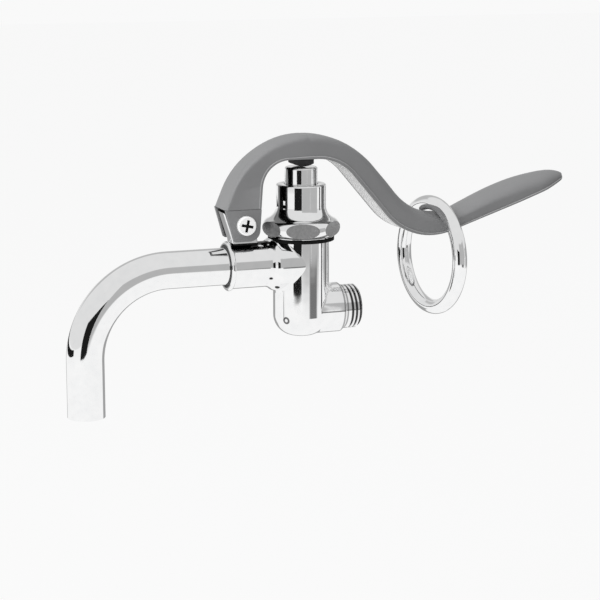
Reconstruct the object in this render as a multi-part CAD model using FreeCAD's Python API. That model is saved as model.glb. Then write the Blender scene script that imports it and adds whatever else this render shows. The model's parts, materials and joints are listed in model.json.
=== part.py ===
import FreeCAD, Part
import math
import os

from FreeCAD import Vector

# Squeeze valve with a hook spout. Millimetres, +Z up.
# +X runs from the spout to the inlet, -Y is the side of the fulcrum screw's head.
# The origin is the centre of the shoulder face behind the inlet's thread.

# Inlet: a straight pipe thread on a short nipple
inlet_thread_d = 19.05
inlet_thread_pitch = 1.814
inlet_thread_depth = 1.0
inlet_thread_root_flat = 0.18
inlet_thread_length = 7.8
inlet_end_chamfer = 0.9
inlet_bore_d = 14.0
inlet_shoulder_width = 1.2
inlet_shoulder_round = 1.0

# Body: an upright barrel, an inlet at its foot and an outlet half way up
shoulder_to_valve_axis = 17.3
inlet_to_outlet_axis = 21.0
barrel_top_below_branch_top = 2.1
barrel_foot_below_inlet = 0.2
neck_wall = 1.8
neck_height = 7.8
neck_shoulder_width = 1.6
barrel_foot_round = 9.0
barrel_floor = 3.2
inlet_crease_round = 2.0
outlet_crease_round = 1.4

# Outlet branch and the collar that holds the spout
tube_stop_width = 1.34
outlet_branch_length = 12.3
outlet_branch_over_collar = 2.0
collar_wall = 1.86
collar_flare_length = 5.0
collar_past_ears = 1.5
collar_bead_height = 0.8
collar_bead_width = 1.8
seal_recess_depth = 1.2
seal_width = 1.26
seal_thickness = 0.9

# Spout: a drawn tube bent through a right angle
tube_d = 15.875
tube_wall = 1.1
tube_socket_depth = 13.0
spout_reach = 95.7
spout_bend_radius = 36.0
spout_leg = 24.0

# Bonnet
gasket_thickness = 1.4
gasket_over_barrel = 2.2
spot_face_margin = 0.5
hex_flats_over_gasket = 0.9
hex_turn_deg = -17.0
hex_bulge_over_gasket = 2.5
hex_bulge_radius = 3.9
hex_mid_above_foot = 4.1
bonnet_wall = 2.25
bonnet_flare_radius = 6.3
bonnet_height = 22.6
bonnet_edge_round = 0.8
bonnet_lip = 2.7

# Button, stem and spring
button_d = 14.1
button_stand_out = 7.3
button_edge_round = 1.0
button_roof = 3.0
button_wall = 1.7
button_flange_width = 1.45
button_flange_thickness = 2.0
button_sink = 4.8
stem_d = 4.0
stem_in_button = 1.6
spring_wire_d = 0.9
spring_side_gap = 0.6
spring_turns = 6.5
running_gap = 0.05
plunger_gap = 0.08
flange_gap = 0.15

# Stem guide and its seals
guide_flange_thickness = 2.4
guide_plug_length = 6.0
guide_plug_gap = 0.1
seal_section_d = 1.8
seal_groove_width = 2.0
stem_seal_section_d = 1.7

# Seat and washer
seat_thickness = 4.0
seat_hole_d = 9.2
seat_lip_width = 0.8
seat_lip_height = 0.5
seat_top_above_port = 0.1
seat_slot_width = 2.0
seat_slot_depth = 1.2
seat_ledge = 0.6
seat_gap = 0.05
chamber_side_gap = 1.2
washer_past_lip = 0.6
washer_thickness = 2.5
holder_wall = 0.8
holder_floor = 2.8
holder_rim = 1.0
stem_collar_d = 6.0
stem_collar_height = 1.4
washer_screw_d = 2.8
washer_screw_head_d = 6.4
washer_screw_head_height = 1.6
washer_screw_engaged = 5.0
washer_screw_slot_width = 0.9
washer_screw_slot_depth = 0.8

# Fulcrum: post, screw, bushing and washers
pivot_x = -27.5
pivot_above_ear_foot = 6.9
ear_front_reach = 5.2
ear_rear_reach = 6.1
ear_front_round = 1.4
ear_rear_round = 4.6
ear_collar_gap = 1.5
post_side_gap = 0.4
post_front_set_back = 0.5
post_top_above_pivot = 5.1
post_root_reach = 7.9
post_foot_slope = 0.6
post_edge_round = 0.6
fulcrum_washer_thickness = 0.35
fulcrum_washer_d = 9.6
bushing_wall = 0.9
fulcrum_screw_d = 5.0
screw_head_d = 8.2
screw_head_height = 1.9
screw_head_round = 0.7
screw_tip = 0.8
nut_across_flats = 8.0
nut_thickness = 3.2
recess_width = 1.2
recess_length = 5.2
recess_depth = 1.3
recess_turn_deg = 12.0

# Lever seen from the side: corners (x, z, radius) from the middle of the button's top face
nose_reach = 9.0
nose_above_pivot = 6.7
lever_top_corners = (
    (-24.0, 13.8, 36.8),
    (19.3, 13.8, 36.8),
    (53.8, -30.4, 28.0),
    (100.2, -10.4, 140.0),
    (125.0, -7.1, 0.0),
)
lever_under_corners = (
    (125.0, -10.0, 0.0),
    (48.6, -36.3, 28.0),
    (14.3, 3.9, 22.0),
    (-19.0, 3.9, 12.0),
)
# Lever seen from above: corners (x, half width, radius) from the ears to the tip
lever_ear_half_width = 8.0
lever_plan_corners = (
    (-45.0, lever_ear_half_width, 0.0),
    (-16.0, lever_ear_half_width, 40.0),
    (0.0, 9.3, 40.0),
    (66.0, 9.7, 120.0),
    (99.0, 11.4, 60.0),
    (112.5, 10.9, 14.0),
    (124.0, 4.6, 7.6),
)
cover_thickness = 1.8
core_thickness = 2.2
cover_edge_round = 2.4
ear_hem = 0.8

# Pad under the lever, round underneath so that it rolls on the button
pad_half_length = 4.4
pad_side_gap = 0.2
pad_nose_radius = 9.0
pad_gap = 0.35
pad_peg_d = 4.0

# Ring that hangs in the dip of the lever
ring_wire_d = 6.35
ring_d = 52.5
ring_x = 61.2
ring_turn_deg = 7.6
ring_gap = 0.65

# Diameters that follow from what goes inside
washer_d = seat_hole_d + 2 * (seat_lip_width + washer_past_lip)
holder_d = washer_d + 2 * holder_wall
chamber_d = holder_d + 2 * chamber_side_gap
barrel_bore_d = chamber_d + 2 * seat_ledge
neck_d = barrel_bore_d + 2 * neck_wall
barrel_d = neck_d + 2 * neck_shoulder_width
gasket_d = barrel_d + 2 * gasket_over_barrel
hex_across_flats = gasket_d + 2 * hex_flats_over_gasket
hex_bulge_d = gasket_d + 2 * hex_bulge_over_gasket
bonnet_bore_d = button_d + 2 * button_flange_width
bonnet_d = bonnet_bore_d + 2 * bonnet_wall
spring_mean_d = button_d - 2 * (button_wall + spring_side_gap) - spring_wire_d
seal_recess_d = tube_d + 2 * seal_width
collar_d = tube_d + 2 * collar_wall
collar_bead_d = collar_d + 2 * collar_bead_height
outlet_bore_d = tube_d - 2 * tube_stop_width
outlet_branch_d = collar_d + 2 * outlet_branch_over_collar
inlet_branch_d = inlet_thread_d + 2 * inlet_shoulder_width
bushing_d = fulcrum_screw_d + 2 * (running_gap + bushing_wall)

# Places worked out from the sizes above
valve_x = -shoulder_to_valve_axis
outlet_z = inlet_to_outlet_axis
barrel_top_z = outlet_z + outlet_branch_d / 2 - barrel_top_below_branch_top
barrel_foot_z = -inlet_branch_d / 2 - barrel_foot_below_inlet
neck_top_z = barrel_top_z + neck_height
bonnet_foot_z = barrel_top_z + gasket_thickness
bonnet_top_z = bonnet_foot_z + bonnet_height
guide_top_z = neck_top_z + guide_flange_thickness
button_top_z = bonnet_top_z + button_stand_out
button_foot_z = bonnet_top_z - button_sink
seat_foot_z = outlet_z - outlet_bore_d / 2 + seat_top_above_port - seat_thickness
washer_top_z = seat_foot_z - seat_lip_height - seat_gap
washer_foot_z = washer_top_z - washer_thickness
holder_foot_z = washer_foot_z - holder_floor
collar_end_x = valve_x + pivot_x - ear_front_reach - collar_past_ears
ear_foot_z = outlet_z + collar_d / 2 + ear_collar_gap - button_top_z
pivot_z = ear_foot_z + pivot_above_ear_foot
lever_nose = (pivot_x - nose_reach, pivot_z + nose_above_pivot, 0.0)
lever_crest_z = lever_top_corners[0][1]
ear_inner_half_width = lever_ear_half_width - cover_thickness - core_thickness
post_half_width = ear_inner_half_width - post_side_gap

SLAB_REACH = 70.0
X_AXIS = Vector(1, 0, 0)
Y_AXIS = Vector(0, 1, 0)
Z_AXIS = Vector(0, 0, 1)


def closed_wire(start, steps):
    """A closed wire. A step is one point for a line, or a middle point and an end point for an arc."""
    edges = []
    at = start
    for step in steps + [start]:
        if isinstance(step, tuple):
            edges.append(Part.Arc(at, step[0], step[1]).toShape())
            at = step[1]
        else:
            edges.append(Part.LineSegment(at, step).toShape())
            at = step
    return Part.Wire(edges)


def turned_upright(start, steps):
    """A solid turned about the valve axis. Points are (radius, z)."""

    def place(p):
        return Vector(valve_x + p[0], 0, p[1])

    placed = [tuple(place(q) for q in s) if isinstance(s[0], tuple) else place(s) for s in steps]
    face = Part.Face(closed_wire(place(start), placed))
    return face.revolve(Vector(valve_x, 0, 0), Z_AXIS, 360)


def turned_level(axis_z, start, steps):
    """A solid turned about a level axis along X at height axis_z. Points are (x, radius)."""

    def place(p):
        return Vector(p[0], 0, axis_z + p[1])

    placed = [tuple(place(q) for q in s) if isinstance(s[0], tuple) else place(s) for s in steps]
    face = Part.Face(closed_wire(place(start), placed))
    return face.revolve(Vector(0, 0, axis_z), X_AXIS, 360)


def upright_rod(d, low_z, high_z):
    return Part.makeCylinder(d / 2, high_z - low_z, Vector(valve_x, 0, low_z), Z_AXIS)


def level_rod(d, low_x, high_x, axis_z):
    return Part.makeCylinder(d / 2, high_x - low_x, Vector(low_x, 0, axis_z), X_AXIS)


def pivot_rod(d, low_y, high_y):
    """A rod along the fulcrum's axis."""
    centre = lever_point(pivot_x, pivot_z)
    return Part.makeCylinder(d / 2, high_y - low_y, Vector(centre.x, low_y, centre.z), Y_AXIS)


def lever_point(x, z, y=0.0):
    """A point given from the middle of the button's top face."""
    return Vector(valve_x + x, y, button_top_z + z)


def arc_mid(centre, radius, degrees):
    angle = math.radians(degrees)
    return (centre[0] + radius * math.cos(angle), centre[1] + radius * math.sin(angle))


def rounded_edges(corners, place):
    """Edges of a closed outline: straight sides joined by tangent arcs. A corner is (x, y, radius)."""
    entries = []
    mids = []
    exits = []
    count = len(corners)
    for i, (x, y, radius) in enumerate(corners):
        here = Vector(x, y, 0)
        back = (Vector(*corners[i - 1][:2], 0) - here).normalize()
        ahead = (Vector(*corners[(i + 1) % count][:2], 0) - here).normalize()
        half = back.getAngle(ahead) / 2
        entries.append(here + back * (radius / math.tan(half)))
        exits.append(here + ahead * (radius / math.tan(half)))
        mids.append(here + (back + ahead).normalize() * (radius / math.sin(half) - radius))
    edges = []
    for i in range(count):
        if corners[i][2] > 0:
            edges.append(Part.Arc(place(entries[i]), place(mids[i]), place(exits[i])).toShape())
        after = (i + 1) % count
        edges.append(Part.LineSegment(place(exits[i]), place(entries[after])).toShape())
    return edges


def inset_corners(corners, insets):
    """A clockwise outline with side i, from corner i to the next, moved in by insets[i]."""
    count = len(corners)
    moved = []
    for i, (x, y, radius) in enumerate(corners):
        here = Vector(x, y, 0)
        ahead = (Vector(*corners[(i + 1) % count][:2], 0) - here).normalize()
        behind = (here - Vector(*corners[i - 1][:2], 0)).normalize()
        turn = behind.cross(ahead).z
        on_ahead = here + Vector(ahead.y, -ahead.x, 0) * insets[i]
        on_behind = here + Vector(behind.y, -behind.x, 0) * insets[i - 1]
        along = (on_ahead - on_behind).cross(ahead).z / behind.cross(ahead).z
        corner = on_behind + behind * along
        mean_inset = (insets[i] + insets[i - 1]) / 2
        new_radius = 0.0
        if radius > 0:
            new_radius = radius + math.copysign(mean_inset, turn)
        moved.append((corner.x, corner.y, new_radius))
    return moved


def inlet_thread_groove():
    """The groove of a right-hand thread, from just past the shoulder to beyond the end."""
    root = inlet_thread_d / 2 - inlet_thread_depth
    crest = inlet_thread_d / 2 + inlet_thread_depth / 2
    half_root = inlet_thread_root_flat / 2
    half_crest = inlet_thread_pitch / 2
    start = inlet_thread_pitch
    height = inlet_thread_length
    path = Part.makeHelix(inlet_thread_pitch, height, root)
    section = Part.makePolygon(
        [
            Vector(root, 0, -half_root),
            Vector(crest, 0, -half_crest),
            Vector(crest, 0, half_crest),
            Vector(root, 0, half_root),
            Vector(root, 0, -half_root),
        ]
    )
    groove = Part.Wire(path.Edges).makePipeShell([section], True, True)
    groove.rotate(Vector(0, 0, 0), Y_AXIS, 90)
    groove.translate(Vector(start, 0, 0))
    return groove


def inlet_branch():
    r = inlet_branch_d / 2
    thread_r = inlet_thread_d / 2
    c = inlet_end_chamfer
    s = inlet_shoulder_round
    branch = turned_level(
        0.0,
        (valve_x, 0.0),
        [
            (valve_x, r),
            (-s, r),
            (arc_mid((-s, r - s), s, 45), (0.0, r - s)),
            (0.0, thread_r),
            (inlet_thread_length - c, thread_r),
            (inlet_thread_length, thread_r - c),
            (inlet_thread_length, 0.0),
        ],
    )
    return branch.cut(inlet_thread_groove())


def barrel():
    r = barrel_d / 2
    round_r = barrel_foot_round
    neck_r = neck_d / 2
    return turned_upright(
        (0.0, barrel_foot_z),
        [
            (r - round_r, barrel_foot_z),
            (arc_mid((r - round_r, barrel_foot_z + round_r), round_r, -45), (r, barrel_foot_z + round_r)),
            (r, barrel_top_z),
            (neck_r, barrel_top_z),
            (neck_r, neck_top_z),
            (0.0, neck_top_z),
        ],
    )


def outlet_branch():
    """Branch, flare, collar and the bead round its mouth, spot-faced under the bonnet."""
    branch_r = outlet_branch_d / 2
    collar_r = collar_d / 2
    bead_r = collar_bead_d / 2
    half_bead = collar_bead_width / 2
    end = collar_end_x
    flare_top = valve_x - outlet_branch_length
    flare_foot = flare_top - collar_flare_length
    run = collar_flare_length / 2
    drop = (branch_r - collar_r) / 2
    flare_r = (run * run + drop * drop) / (2 * drop)
    half_turn = math.degrees(math.asin(run / flare_r)) / 2
    flare_mid = (flare_top - run, branch_r - drop)
    bulge_mid = arc_mid((flare_top, branch_r - flare_r), flare_r, 90 + half_turn)
    hollow_mid = arc_mid((flare_foot, collar_r + flare_r), flare_r, half_turn - 90)
    branch = turned_level(
        outlet_z,
        (valve_x, 0.0),
        [
            (valve_x, branch_r),
            (flare_top, branch_r),
            (bulge_mid, flare_mid),
            (hollow_mid, (flare_foot, collar_r)),
            (end + collar_bead_width, collar_r),
            ((end + half_bead, bead_r), (end, collar_r)),
            (end, 0.0),
        ],
    )
    return branch.cut(upright_rod(gasket_d + 2 * spot_face_margin, barrel_top_z, neck_top_z))


def fulcrum_post():
    """A flat rib on the collar that stands between the lever's ears."""
    pivot = lever_point(pivot_x, pivot_z)
    front_foot = lever_point(pivot_x - ear_front_reach + post_front_set_back, ear_foot_z)
    front_top = lever_point(lever_nose[0] + post_front_set_back, pivot_z + post_top_above_pivot)
    root = Vector(pivot.x + post_root_reach, 0, outlet_z + collar_d / 4)
    front_root = Vector(front_foot.x + post_foot_slope, 0, root.z)
    top = Vector(pivot.x, 0, front_top.z)
    shoulder = Vector(pivot.x + post_top_above_pivot, 0, pivot.z)
    diagonal = post_top_above_pivot * math.sqrt(0.5)
    bend = Vector(pivot.x + diagonal, 0, pivot.z + diagonal)
    outline = closed_wire(front_root, [front_foot, front_top, top, (bend, shoulder), root])
    rib = Part.Face(outline).extrude(Y_AXIS * 2 * post_half_width)
    rib.translate(Y_AXIS * -post_half_width)
    flat = [e for e in rib.Edges if e.BoundBox.YLength < post_half_width]
    return rib.makeFillet(post_edge_round, [e for e in flat if e.BoundBox.ZMax > root.z + post_edge_round])


def rounded_creases(solid, radius, branch_d, axis_z):
    """Rounds the crease round a level branch. A branch wider than the barrel keeps it sharp."""
    if branch_d > barrel_d:
        return solid
    found = []
    for edge in solid.Edges:
        middle = edge.valueAt((edge.FirstParameter + edge.LastParameter) / 2)
        off_axis = middle.distanceToLine(Vector(0, 0, axis_z), X_AXIS)
        curved = not isinstance(edge.Curve, (Part.Line, Part.Circle))
        if curved and abs(off_axis - branch_d / 2) < 0.001:
            found.append(edge)
    return solid.makeFillet(radius, found)


def casting():
    """Barrel and branches with rounded creases between them."""
    solid = barrel().fuse([outlet_branch(), inlet_branch()]).removeSplitter()
    solid = rounded_creases(solid, outlet_crease_round, outlet_branch_d, outlet_z)
    return rounded_creases(solid, inlet_crease_round, inlet_branch_d, 0.0)


def valve_body():
    solid = casting().fuse(fulcrum_post())
    end = collar_end_x
    socket = level_rod(tube_d, end, end + tube_socket_depth, outlet_z)
    recess = level_rod(seal_recess_d, end, end + seal_recess_depth, outlet_z)
    port = level_rod(outlet_bore_d, end, valve_x, outlet_z)
    bore = upright_rod(barrel_bore_d, seat_foot_z, neck_top_z)
    chamber = upright_rod(chamber_d, barrel_foot_z + barrel_floor, seat_foot_z)
    inlet = level_rod(inlet_bore_d, valve_x, inlet_thread_length, 0.0)
    eye = pivot_rod(bushing_d, -post_half_width, post_half_width)
    return solid.cut([socket, recess, port, bore, chamber, inlet, eye]).removeSplitter()


def hook_spout():
    """Level run, right-angle bend and upright leg, all of one tube."""
    tube_end = collar_end_x + tube_socket_depth
    leg_x = valve_x - spout_reach
    bend_x = leg_x + spout_bend_radius
    bend_z = outlet_z - spout_bend_radius

    def rod(d):
        run = level_rod(d, bend_x, tube_end, outlet_z)
        circle = Part.makeCircle(d / 2, Vector(bend_x, 0, outlet_z), X_AXIS)
        bend = Part.Face(Part.Wire(circle)).revolve(Vector(bend_x, 0, bend_z), Y_AXIS, -90)
        leg = Part.makeCylinder(d / 2, spout_leg, Vector(leg_x, 0, bend_z - spout_leg), Z_AXIS)
        return run.fuse([bend, leg])

    return rod(tube_d).cut(rod(tube_d - 2 * tube_wall)).removeSplitter()


def spout_seal():
    """Square ring in the collar's mouth, round the tube."""
    end = collar_end_x
    floor = end + seal_recess_depth
    ring = level_rod(seal_recess_d, floor - seal_thickness, floor, outlet_z)
    return ring.cut(level_rod(tube_d, floor - seal_thickness, floor, outlet_z))


def bonnet():
    """Round bonnet whose flared foot is a bulging hexagon."""
    foot = bonnet_foot_z
    r = bonnet_d / 2
    lip_r = button_d / 2 + plunger_gap
    mid_z = foot + hex_mid_above_foot
    bulge_centre_r = hex_bulge_d / 2 - hex_bulge_radius
    flare_centre = (r + bonnet_flare_radius, 0.0)
    apart_r = flare_centre[0] - bulge_centre_r
    reach = hex_bulge_radius + bonnet_flare_radius
    flare_z = mid_z + math.sqrt(reach * reach - apart_r * apart_r)
    turn = math.degrees(math.atan2(flare_z - mid_z, apart_r))
    bulge_centre = (bulge_centre_r, mid_z)
    flare_centre = (flare_centre[0], flare_z)
    touch = arc_mid(bulge_centre, hex_bulge_radius, turn)
    foot_turn = -math.degrees(math.acos((gasket_d / 2 - bulge_centre_r) / hex_bulge_radius))
    foot_rim = arc_mid(bulge_centre, hex_bulge_radius, foot_turn)
    e = bonnet_edge_round
    top = bonnet_top_z
    blank = turned_upright(
        (neck_d / 2, foot),
        [
            (gasket_d / 2, foot),
            foot_rim,
            (arc_mid(bulge_centre, hex_bulge_radius, (foot_turn + turn) / 2), touch),
            (arc_mid(flare_centre, bonnet_flare_radius, (180 + turn + 180) / 2), (r, flare_z)),
            (r, top - e),
            (arc_mid((r - e, top - e), e, 45), (r - e, top)),
            (lip_r, top),
            (lip_r, top - bonnet_lip),
            (bonnet_bore_d / 2, top - bonnet_lip),
            (bonnet_bore_d / 2, guide_top_z),
            (neck_d / 2, guide_top_z),
        ],
    )
    return blank.common(hexagon(hex_across_flats, foot, top))


def hexagon(across_flats, low_z, high_z):
    """Upright hexagonal prism on the valve axis, turned to where it came tight."""
    corner_r = across_flats / math.sqrt(3)
    corners = []
    for i in range(7):
        angle = math.radians(60 * i + hex_turn_deg)
        corners.append(Vector(valve_x + corner_r * math.cos(angle), corner_r * math.sin(angle), low_z))
    prism = Part.Face(Part.makePolygon(corners)).extrude(Z_AXIS * (high_z - low_z))
    return prism


def bonnet_gasket():
    ring = upright_rod(gasket_d, barrel_top_z, bonnet_foot_z)
    return ring.cut(upright_rod(neck_d, barrel_top_z, bonnet_foot_z))


def push_button():
    """Cap with a flange below that the bonnet's lip holds in."""
    r = button_d / 2
    flange_r = bonnet_bore_d / 2 - flange_gap
    cup_r = r - button_wall
    e = button_edge_round
    roof_z = button_top_z - button_roof
    stem_top_z = roof_z + stem_in_button
    return turned_upright(
        (cup_r, button_foot_z),
        [
            (flange_r, button_foot_z),
            (flange_r, button_foot_z + button_flange_thickness),
            (r, button_foot_z + button_flange_thickness),
            (r, button_top_z - e),
            (arc_mid((r - e, button_top_z - e), e, 45), (r - e, button_top_z)),
            (0.0, button_top_z),
            (0.0, stem_top_z),
            (stem_d / 2, stem_top_z),
            (stem_d / 2, roof_z),
            (cup_r, roof_z),
        ],
    )


def valve_stem():
    """Rod from the button's roof to the washer, with a collar above the washer."""
    top = button_top_z - button_roof + stem_in_button
    rod = upright_rod(stem_d, washer_foot_z, top)
    collar = upright_rod(stem_collar_d, washer_top_z, washer_top_z + stem_collar_height)
    hole = upright_rod(washer_screw_d, washer_foot_z, washer_foot_z + washer_screw_engaged)
    return rod.fuse(collar).cut(hole).removeSplitter()


def stem_guide():
    """Flange clamped under the bonnet and a plug in the barrel, with a groove for each seal."""
    plug_r = barrel_bore_d / 2 - guide_plug_gap
    bore_r = stem_d / 2 + running_gap
    mid = neck_top_z - guide_plug_length / 2
    half = seal_groove_width / 2
    outer_floor = barrel_bore_d / 2 - seal_section_d - running_gap
    inner_roof = bore_r + stem_seal_section_d + running_gap
    return turned_upright(
        (bore_r, neck_top_z - guide_plug_length),
        [
            (plug_r, neck_top_z - guide_plug_length),
            (plug_r, mid - half),
            (outer_floor, mid - half),
            (outer_floor, mid + half),
            (plug_r, mid + half),
            (plug_r, neck_top_z),
            (neck_d / 2, neck_top_z),
            (neck_d / 2, guide_top_z),
            (bore_r, guide_top_z),
            (bore_r, mid + half),
            (inner_roof, mid + half),
            (inner_roof, mid - half),
            (bore_r, mid - half),
        ],
    )


def seal_ring(inner_r, section_d):
    """A round-section ring half way down the guide's plug."""
    centre = Vector(valve_x, 0, neck_top_z - guide_plug_length / 2)
    return Part.makeTorus(inner_r + section_d / 2, section_d / 2, centre, Z_AXIS)


def return_spring():
    """Coil from the guide's flange to the button's roof."""
    wire_r = spring_wire_d / 2
    low = guide_top_z + wire_r
    high = button_top_z - button_roof - wire_r
    height = high - low
    path = Part.makeHelix(height / spring_turns, height, spring_mean_d / 2)
    section = Part.Wire(Part.makeCircle(wire_r, Vector(spring_mean_d / 2, 0, 0), Y_AXIS))
    coil = Part.Wire(path.Edges).makePipeShell([section], True, True)
    coil.translate(Vector(valve_x, 0, low))
    return coil


def valve_seat():
    """Seat ring with a raised lip below and a driver slot above."""
    hole_r = seat_hole_d / 2
    lip_r = hole_r + seat_lip_width
    outer_r = barrel_bore_d / 2
    top = seat_foot_z + seat_thickness
    ring = turned_upright(
        (hole_r, seat_foot_z - seat_lip_height),
        [
            (lip_r, seat_foot_z - seat_lip_height),
            (lip_r, seat_foot_z),
            (outer_r, seat_foot_z),
            (outer_r, top),
            (hole_r, top),
        ],
    )
    corner = Vector(valve_x - seat_slot_width / 2, -outer_r, top - seat_slot_depth)
    return ring.cut(Part.makeBox(seat_slot_width, 2 * outer_r, seat_slot_depth, corner))


def seat_washer():
    disc = upright_rod(washer_d, washer_foot_z, washer_top_z)
    return disc.cut(upright_rod(stem_d, washer_foot_z, washer_top_z))


def washer_holder():
    """Shallow cup under the washer."""
    disc = upright_rod(holder_d, holder_foot_z, washer_foot_z + holder_rim)
    cup = upright_rod(washer_d, washer_foot_z, washer_foot_z + holder_rim)
    return disc.cut([cup, upright_rod(washer_screw_d, holder_foot_z, washer_foot_z)])


def washer_screw():
    head_foot = holder_foot_z - washer_screw_head_height
    head = upright_rod(washer_screw_head_d, head_foot, holder_foot_z)
    shank = upright_rod(washer_screw_d, holder_foot_z, washer_foot_z + washer_screw_engaged)
    corner = Vector(valve_x - washer_screw_head_d / 2, -washer_screw_slot_width / 2, head_foot)
    slot = Part.makeBox(washer_screw_head_d, washer_screw_slot_width, washer_screw_slot_depth, corner)
    return head.fuse(shank).cut(slot).removeSplitter()


def on_side_view(p):
    return lever_point(p.x, p.y)


def on_plan(p):
    return lever_point(p.x, 0, p.y)


def lever_slab(corners):
    """A wide slab with the given side view."""
    slab = Part.Face(Part.Wire(rounded_edges(corners, on_side_view))).extrude(Y_AXIS * 2 * SLAB_REACH)
    slab.translate(Y_AXIS * -SLAB_REACH)
    return slab


def lever_plan_prism(inset):
    """Upright prism of the lever's plan, its sides and tip moved in by inset."""
    near = [(x, -half_width, radius) for x, half_width, radius in reversed(lever_plan_corners)]
    corners = inset_corners(list(lever_plan_corners) + near, [inset] * (2 * len(lever_plan_corners)))
    prism = Part.Face(Part.Wire(rounded_edges(corners, on_plan))).extrude(Z_AXIS * 2 * SLAB_REACH)
    prism.translate(Z_AXIS * -SLAB_REACH)
    return prism


def lever_blank(top_inset, side_inset, hem):
    """Solid lever, its top, its sides and the edges of its ears moved in."""
    ears = [
        (pivot_x + ear_rear_reach, ear_foot_z, ear_rear_round),
        (pivot_x - ear_front_reach, ear_foot_z, ear_front_round),
    ]
    corners = [lever_nose] + list(lever_top_corners) + list(lever_under_corners) + ears
    insets = [top_inset] * len(lever_top_corners) + [0.0] * len(lever_under_corners) + [hem] * 3
    return lever_slab(inset_corners(corners, insets)).common(lever_plan_prism(side_inset))


def lever_channel():
    """The hollow under the lever's web, open below, and open in front between the ears."""
    wall = cover_thickness + core_thickness
    nose_x, nose_z, _ = lever_nose
    rear_x = lever_top_corners[-1][0]
    low = [(rear_x, -SLAB_REACH, 0.0), (nose_x, -SLAB_REACH, 0.0)]
    corners = [lever_nose] + list(lever_top_corners) + low
    insets = [wall] * len(lever_top_corners) + [0.0, 0.0, wall]
    hollow = lever_slab(inset_corners(corners, insets)).common(lever_plan_prism(wall))
    corner = lever_point(nose_x - wall, nose_z - SLAB_REACH, -ear_inner_half_width)
    front = Part.makeBox(3 * wall, 2 * ear_inner_half_width, SLAB_REACH, corner)
    return hollow.fuse(front)


def top_line():
    """The lever's top in side view, from the nose to past the tip."""
    back = (lever_nose[0], lever_top_corners[-1][1], 0.0)
    return Part.Wire(rounded_edges([lever_nose] + list(lever_top_corners) + [back], on_side_view)[:-2])


def top_rim(blank):
    """Edges round the lever's top, where it meets the sides and the tip."""
    sheet = top_line().extrude(Y_AXIS * 2 * SLAB_REACH)
    sheet.translate(Y_AXIS * -SLAB_REACH)
    found = []
    for edge in blank.Edges:
        middle = edge.valueAt((edge.FirstParameter + edge.LastParameter) / 2)
        across = isinstance(edge.Curve, Part.Line)
        if not across and sheet.distToShape(Part.Vertex(middle))[0] < 0.001:
            found.append(edge)
    return found


def ear_holes():
    return pivot_rod(fulcrum_screw_d, -lever_ear_half_width, lever_ear_half_width)


def lever_cover():
    blank = lever_blank(0.0, 0.0, 0.0)
    blank = blank.makeFillet(cover_edge_round, top_rim(blank))
    inner = lever_blank(cover_thickness, cover_thickness, ear_hem)
    return blank.cut([inner, lever_channel(), ear_holes()]).removeSplitter()


def lever_core():
    blank = lever_blank(cover_thickness, cover_thickness, ear_hem)
    return blank.cut([lever_channel(), ear_holes(), pad_peg()]).removeSplitter()


def pad_peg():
    """Peg of the pad, through the lever's web."""
    foot = lever_point(0, lever_crest_z - cover_thickness - 2 * core_thickness)
    return Part.makeCylinder(pad_peg_d / 2, 2 * core_thickness, foot, Z_AXIS)


def lever_pad():
    """Block between the channel's walls, with a round nose over the button."""
    half_width = ear_inner_half_width - pad_side_gap
    nose_centre = lever_point(0, pad_gap + pad_nose_radius, -half_width)
    nose = Part.makeCylinder(pad_nose_radius, 2 * half_width, nose_centre, Y_AXIS)
    size = Vector(2 * pad_half_length, 2 * half_width, pad_nose_radius)
    lower = Part.makeBox(*size, lever_point(-pad_half_length, pad_gap, -half_width)).common(nose)
    upper = Part.makeBox(*size, lever_point(-pad_half_length, pad_gap + pad_nose_radius, -half_width))
    block = lower.fuse(upper).common(lever_channel())
    peg = pad_peg().common(lever_blank(cover_thickness, cover_thickness, ear_hem))
    return block.fuse(peg).removeSplitter()


def fulcrum_bushing():
    tube = pivot_rod(bushing_d, -post_half_width, post_half_width)
    return tube.cut(pivot_rod(fulcrum_screw_d + 2 * running_gap, -post_half_width, post_half_width))


def fulcrum_washers():
    """Two thin washers, one on each side of the post."""
    rings = []
    for low in (post_half_width, -post_half_width - fulcrum_washer_thickness):
        high = low + fulcrum_washer_thickness
        ring = pivot_rod(fulcrum_washer_d, low, high)
        rings.append(ring.cut(pivot_rod(fulcrum_screw_d + 2 * running_gap, low, high)))
    return Part.makeCompound(rings)


def fulcrum_screw():
    """Pan-head screw with a cross recess. Its head lies on the near ear."""
    face_y = -lever_ear_half_width
    top_y = face_y - screw_head_height
    tip_y = lever_ear_half_width + nut_thickness + screw_tip
    head = pivot_rod(screw_head_d, top_y, face_y)
    rim = [e for e in head.Edges if abs(e.BoundBox.YMax - top_y) < 0.01 and e.Closed]
    head = head.makeFillet(screw_head_round, rim)
    shank = pivot_rod(fulcrum_screw_d, face_y, tip_y)
    centre = lever_point(pivot_x, pivot_z)
    arms = []
    for turn in (recess_turn_deg, recess_turn_deg + 90):
        corner = centre + Vector(-recess_length / 2, top_y, -recess_width / 2)
        arm = Part.makeBox(recess_length, recess_depth, recess_width, corner)
        arm.rotate(centre, Y_AXIS, turn)
        arms.append(arm)
    return head.fuse(shank).cut(arms).removeSplitter()


def fulcrum_nut():
    """Hexagonal nut on the far ear."""
    centre = lever_point(pivot_x, pivot_z, lever_ear_half_width)
    corner_r = nut_across_flats / math.sqrt(3)
    corners = []
    for i in range(7):
        angle = math.radians(60 * i)
        corners.append(centre + Vector(corner_r * math.cos(angle), 0, corner_r * math.sin(angle)))
    prism = Part.Face(Part.makePolygon(corners)).extrude(Y_AXIS * nut_thickness)
    return prism.cut(pivot_rod(fulcrum_screw_d, lever_ear_half_width, lever_ear_half_width + nut_thickness))


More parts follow.
